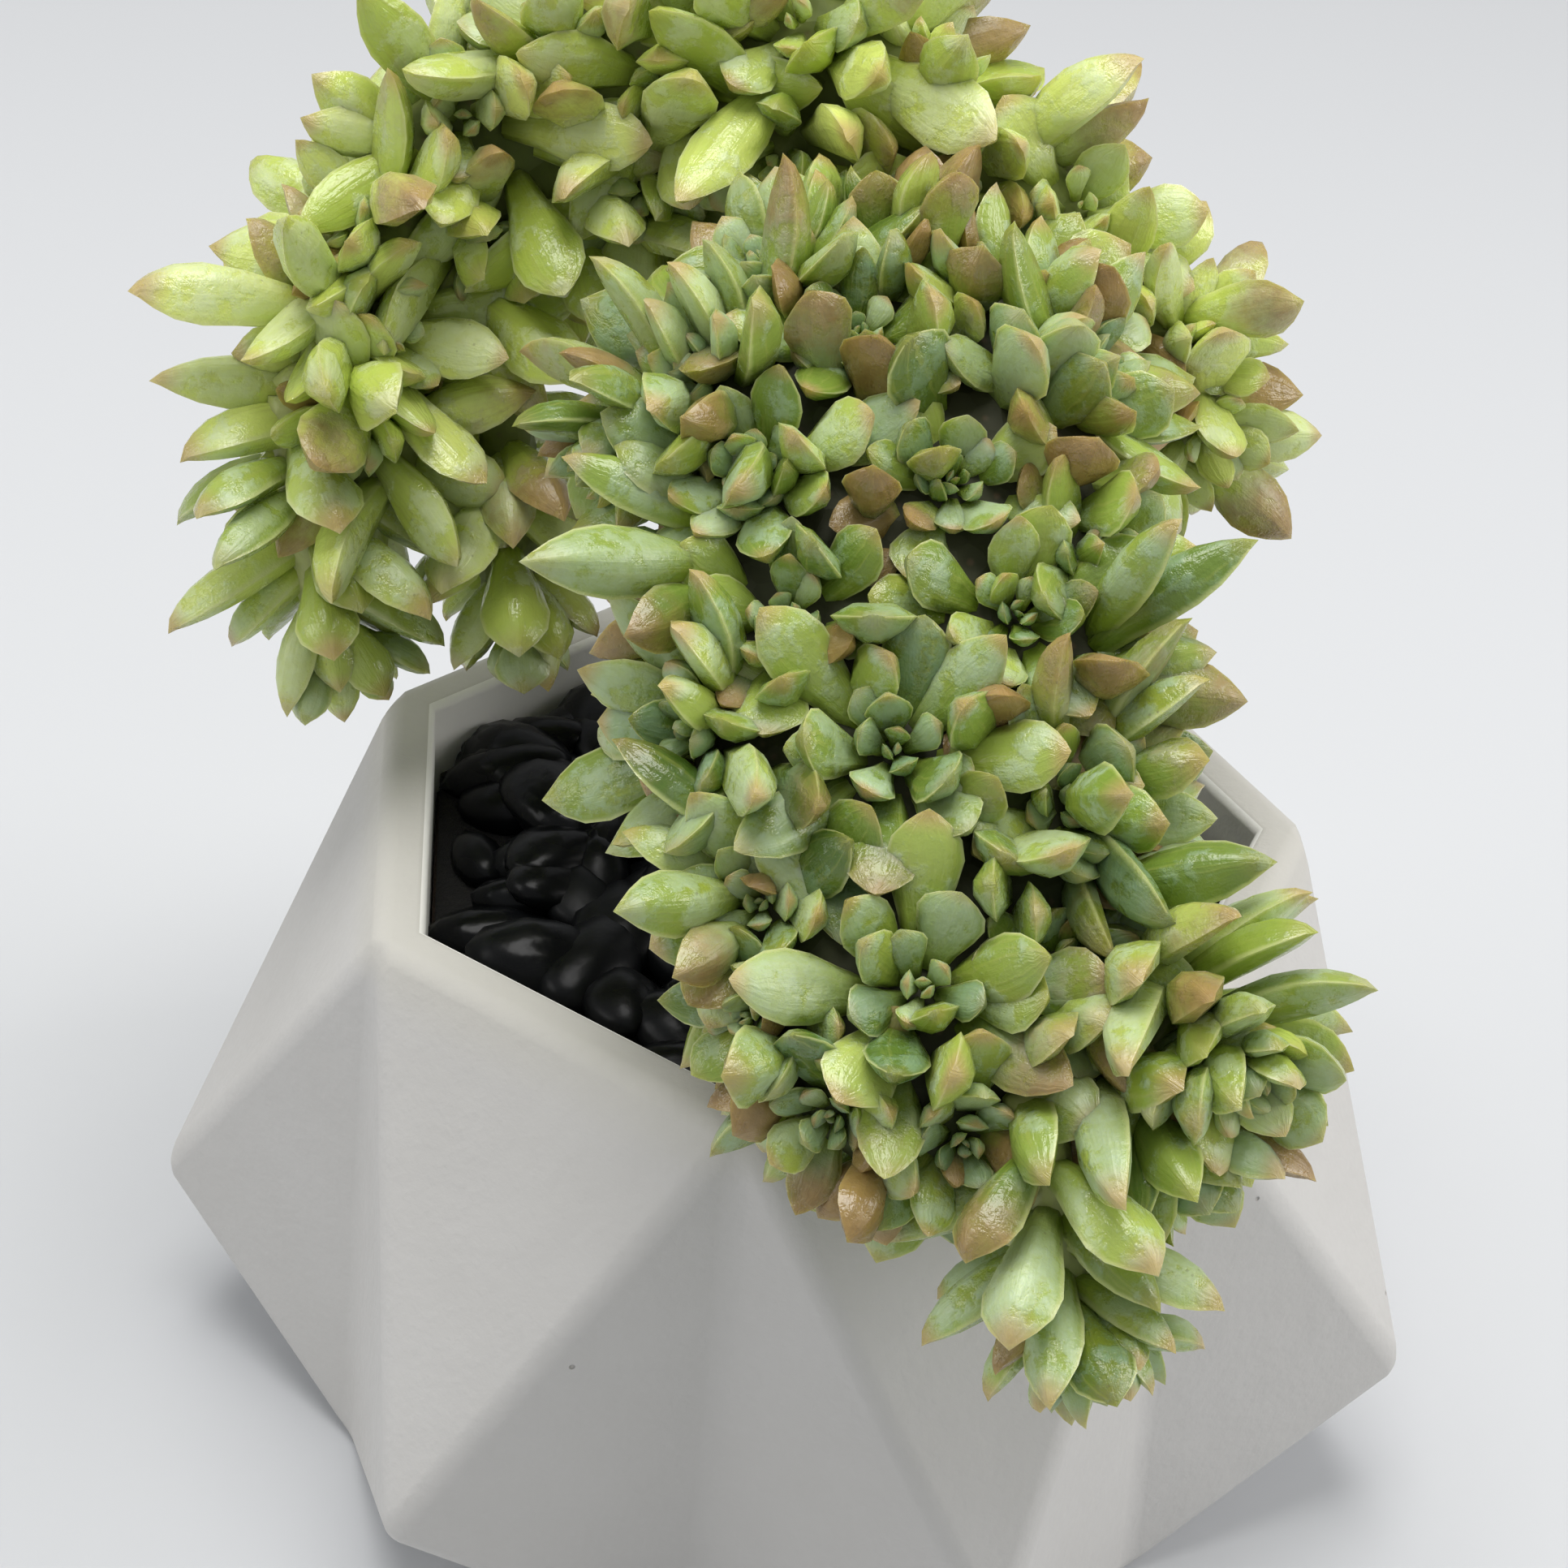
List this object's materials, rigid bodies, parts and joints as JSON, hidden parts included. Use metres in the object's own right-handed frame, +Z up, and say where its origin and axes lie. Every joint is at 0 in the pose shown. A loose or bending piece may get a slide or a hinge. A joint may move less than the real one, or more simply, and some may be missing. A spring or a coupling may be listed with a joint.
{
  "type": "potted succulent",
  "caption": "Crested succulent with plump leaf rosettes that arches over the rim of a faceted seven-sided planter filled with soil and black stones.",
  "frame": {"origin": "middle of the pot's underside, on the surface that the pot stands on", "axes": "+Z up; the leafy band falls over the rim towards -Y; +X to the right as seen from the band's side"},
  "size_m": [0.1992, 0.2228, 0.2382],
  "materials": {
    "pot": "matt, warm white",
    "soil": "rough, dark",
    "stones": "polished black",
    "leaf": "waxy green with pale bloom"
  },
  "bodies": {
    "root": {"pot": "pot", "potting_soil": "soil", "black_stones": "stones", "crest_ridge": "leaf", "crest_band": "leaf", "low_shoot": "leaf", "right_shoot": "leaf", "left_shoot": "leaf"}
  },
  "joints": []
}
